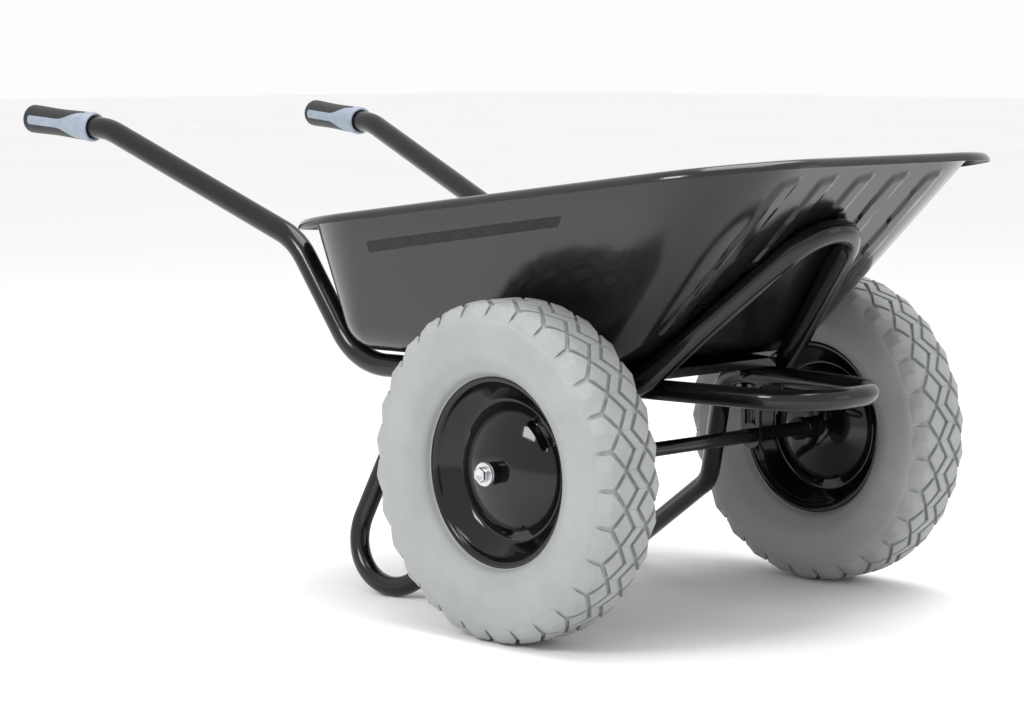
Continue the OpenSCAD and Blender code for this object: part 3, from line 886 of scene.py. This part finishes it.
class BARROW_OT_grips(bpy.types.Operator):
    """The rubber grips with their flared inserts and front collars"""

    bl_idname = "barrow.grips"
    bl_label = "Grips"

    def execute(self, context):
        s = context.scene.barrow_grip
        outer, bore = s.outer_r, s.bore_r
        # Ends of the rubber along the handle, from the tube's end, and the rounding of the rear one
        rear, front, round_r = -0.005, 0.107, 0.006

        def waist(z):
            """How much the grip's radius is narrowed at that place along it."""
            share = (z - rear - round_r) / (front - rear - round_r)
            return s.waist * math.sin(math.pi * min(max(share, 0), 1)) ** 2

        for name, side in SIDES.items():
            grip_place = on_grip(side)
            # Rubber body: rounded end, a waist and a hollow bore
            outline = [(PINHOLE, rear), (outer - round_r, rear)]
            for k in range(1, 9):
                a = math.pi / 16 * k
                outline.append((outer - round_r + round_r * math.sin(a),
                                rear + round_r - round_r * math.cos(a)))
            for k in range(1, 25):
                z = rear + round_r + (front - rear - round_r) * k / 24
                outline.append((outer - waist(z), z))
            outline += [(bore, front), (bore, 0.0), (PINHOLE, 0.0)]
            body = turned(f"grip_{name}_rubber", outline, Vector((0, 0, 0)), steps=72)
            # Turned round Y: lay its axis on Z
            body.data.transform(Matrix.Rotation(math.pi / 2, 4, "X"))
            body.data.transform(grip_place)
            turn_outwards(body)
            smooth(body, 40)
            paint(body, bpy.data.materials["Moulded black rubber"])
            hand_over(body, "frame", "grip_black", f"grip_{name}")

            collar = turned(f"grip_collar_{name}_ring", [
                (bore, front), (outer, front), (outer + 0.0007, front + 0.004),
                (outer + 0.001, front + 0.0105), (outer + 0.0006, front + 0.0145),
                (outer - 0.0008, front + 0.016), (outer - 0.0028, front + 0.0158),
                (bore, front + 0.0125),
            ], Vector((0, 0, 0)), steps=72)
            collar.data.transform(Matrix.Rotation(math.pi / 2, 4, "X"))
            parts = [collar]
            for face in (1, -1):
                start_z = s.stripe_gap + rear

                def place(u, v):
                    z = start_z + (front + 0.001 - start_z) * v
                    flare = ease((z - FLARE_FROM) / (front - FLARE_FROM)) ** 1.5
                    half = s.stripe_w / 2 + (s.flare_w - s.stripe_w) / 2 * flare
                    half *= min(1, 0.55 + (z - start_z) / 0.004)
                    r = outer - waist(z) + STRIPE_LIFT
                    a = (2 * u - 1) * half / r
                    return (r * math.sin(a), face * r * math.cos(a), z)

                stripe = shaped_grid("stripe", 14, 40, place)
                out = stripe.data.polygons[0].normal.y * face
                modify(stripe, "SOLIDIFY", thickness=0.0012, offset=-1 if out > 0 else 1)
                parts.append(stripe)
            collar = join(parts, f"grip_collar_{name}_insert")
            collar.data.transform(grip_place)
            turn_outwards(collar)
            smooth(collar, 40)
            paint(collar, bpy.data.materials["Blue-grey thermoplastic rubber"])
            hand_over(collar, "frame", "grip_insert", f"grip_collar_{name}")
        return {"FINISHED"}


# ---------- Finishes of the frame ----------


class BARROW_OT_finishes(bpy.types.Operator):
    """Makes the materials and gives the frame's pieces theirs"""

    bl_idname = "barrow.finishes"
    bl_label = "Finishes"

    def execute(self, context):
        c = context.scene.barrow_colours
        gloss_enamel("Stoved gloss enamel", c.enamel, 0.12, 0.2, 0.00003, 0.5)
        gloss_enamel("Dipped gloss enamel", c.rim, 0.06, 0.11, 0.000012, 0.36)
        powder_coat("Gloss powder coat", c.powder)
        powder_coat("Satin black axle paint", c.powder)
        foam_rubber("Skinned polyurethane foam", c.foam)
        zinc_plate("Bright zinc plate", c.zinc)
        moulded("Moulded black rubber", c.rubber, 0.55, 0.0008, 0.00006, 0.05)
        moulded("Blue-grey thermoplastic rubber", c.insert, 0.5, 0.0006, 0.00004)
        moulded("Matt black vinyl", c.rubber, 0.7, 0.0006, 0.00002)
        moulded("Natural nylon", c.nylon, 0.4, 0.0006, 0.00002)
        finish_of = {
            "tray_paint": "Stoved gloss enamel",
            "frame_paint": "Gloss powder coat",
            "axle_paint": "Satin black axle paint",
            "rim_paint": "Dipped gloss enamel",
            "zinc": "Bright zinc plate",
            "tyre_foam": "Skinned polyurethane foam",
            "bush": "Natural nylon",
            "grip_black": "Moulded black rubber",
            "grip_insert": "Blue-grey thermoplastic rubber",
        }
        slots = {p["node"]: p["material_slot"] for p in frame["record"]["subparts"]}
        for node, obj in frame["nodes"].items():
            material = bpy.data.materials[finish_of[slots[node]]]
            if not obj.material_slots:
                obj.data.materials.append(material)
            for place in obj.material_slots:
                place.material = material
        return {"FINISHED"}


# ---------- Stage ----------


def lamp(name, location, target, size, power):
    deselect()
    bpy.ops.object.light_add(type="AREA", location=location)
    light = bpy.context.object
    light.name = name
    light.data.shape = "RECTANGLE"
    light.data.size, light.data.size_y = size
    light.data.energy = power
    aim = Vector(target) - Vector(location)
    light.rotation_euler = aim.to_track_quat("-Z", "Y").to_euler()


# Name, place, target, size and power of each lamp
LAMPS = (
    ("key", (0.15, -2.7, 1.9), (0.2, 0, 0.3), (0.9, 0.7), 30),
    ("front", (3.4, 1.6, 1.2), (0.3, 0, 0.3), (1.4, 1.4), 5),
    ("overhead", (0.5, 0.2, 3.0), (0.2, 0, 0.3), (2.6, 1.8), 75),
)
# The camera's place, from the axle along X, and its bearing and height angle in degrees
CAMERA_AHEAD, CAMERA_Y, CAMERA_Z = 2.341, -2.562, 0.6875
CAMERA_AZIMUTH, CAMERA_ELEVATION = 44.87, 5.92
# Focal length in millimetres, and the shifts of the picture
CAMERA_LENS, CAMERA_SHIFT = 99.8, (-0.0441, -0.0094)


class BARROW_OT_stage(bpy.types.Operator):
    """The pale floor, the soft studio light and the camera"""

    bl_idname = "barrow.stage"
    bl_label = "Stage"

    def execute(self, context):
        deselect()
        bpy.ops.mesh.primitive_plane_add(size=60, location=(0, 0, 0))
        floor = bpy.context.object
        floor.name = "studio_floor"
        material, tree, shader, place = start("Pale studio floor")
        shade_out = ramp(tree, noise(tree, place, 1.5), 0.3, 0.7, grey(0.93), grey(0.95))
        tree.links.new(shade_out, shader.inputs["Base Color"])
        shader.inputs["Roughness"].default_value = 0.9
        shader.inputs["Specular IOR Level"].default_value = 0.1
        paint(floor, material)

        world = bpy.data.worlds.new("Studio")
        world.use_nodes = True
        context.scene.world = world
        world.node_tree.nodes["Background"].inputs["Color"].default_value = (1, 1, 1, 1)
        world.node_tree.nodes["Background"].inputs["Strength"].default_value = 0.98

        for name, location, target, size, power in LAMPS:
            lamp(name, location, target, size, power)

        deselect()
        azimuth, elevation = math.radians(CAMERA_AZIMUTH), math.radians(CAMERA_ELEVATION)
        back = Vector((math.sin(azimuth) * math.cos(elevation),
                       -math.cos(azimuth) * math.cos(elevation), math.sin(elevation)))
        bpy.ops.object.camera_add(
            location=(AXLE.x + CAMERA_AHEAD, CAMERA_Y, CAMERA_Z),
            rotation=(-back).to_track_quat("-Z", "Y").to_euler(),
        )
        camera = bpy.context.object
        camera.data.sensor_width = 36
        camera.data.lens = CAMERA_LENS
        camera.data.shift_x, camera.data.shift_y = CAMERA_SHIFT
        camera.data.clip_end = 100
        context.scene.camera = camera
        context.scene.view_settings.view_transform = "Standard"
        return {"FINISHED"}


class BARROW_PT_panel(bpy.types.Panel):
    """The pieces of the barrow, in the order in which they're made"""

    bl_label = "Wheelbarrow"
    bl_idname = "BARROW_PT_panel"
    bl_space_type = "VIEW_3D"
    bl_region_type = "UI"
    bl_category = "Barrow"

    def draw(self, context):
        for operator in OPERATORS:
            self.layout.operator(operator.bl_idname)
        for group in ("barrow_tray", "barrow_wheel", "barrow_grip", "barrow_colours"):
            settings = getattr(context.scene, group)
            box = self.layout.box()
            for key in settings.bl_rna.properties.keys():
                if key not in ("rna_type", "name"):
                    box.prop(settings, key)


SETTINGS = {
    "barrow_tray": BarrowTraySettings,
    "barrow_wheel": BarrowWheelSettings,
    "barrow_grip": BarrowGripSettings,
    "barrow_colours": BarrowColours,
}
OPERATORS = (
    BARROW_OT_finishes,
    BARROW_OT_tray,
    BARROW_OT_tyres,
    BARROW_OT_rims,
    BARROW_OT_axle_ends,
    BARROW_OT_grips,
    BARROW_OT_stage,
)


def register():
    for name, group in SETTINGS.items():
        bpy.utils.register_class(group)
        setattr(bpy.types.Scene, name, bpy.props.PointerProperty(type=group))
    for operator in OPERATORS:
        bpy.utils.register_class(operator)
    bpy.utils.register_class(BARROW_PT_panel)


def unregister():
    bpy.utils.unregister_class(BARROW_PT_panel)
    for operator in reversed(OPERATORS):
        bpy.utils.unregister_class(operator)
    for name, group in SETTINGS.items():
        delattr(bpy.types.Scene, name)
        bpy.utils.unregister_class(group)


def main():
    register()
    bpy.ops.barrow.finishes()
    bpy.ops.barrow.tray()
    bpy.ops.barrow.tyres()
    bpy.ops.barrow.rims()
    bpy.ops.barrow.axle_ends()
    bpy.ops.barrow.grips()
    bpy.ops.barrow.stage()


if __name__ == "__main__":
    main()
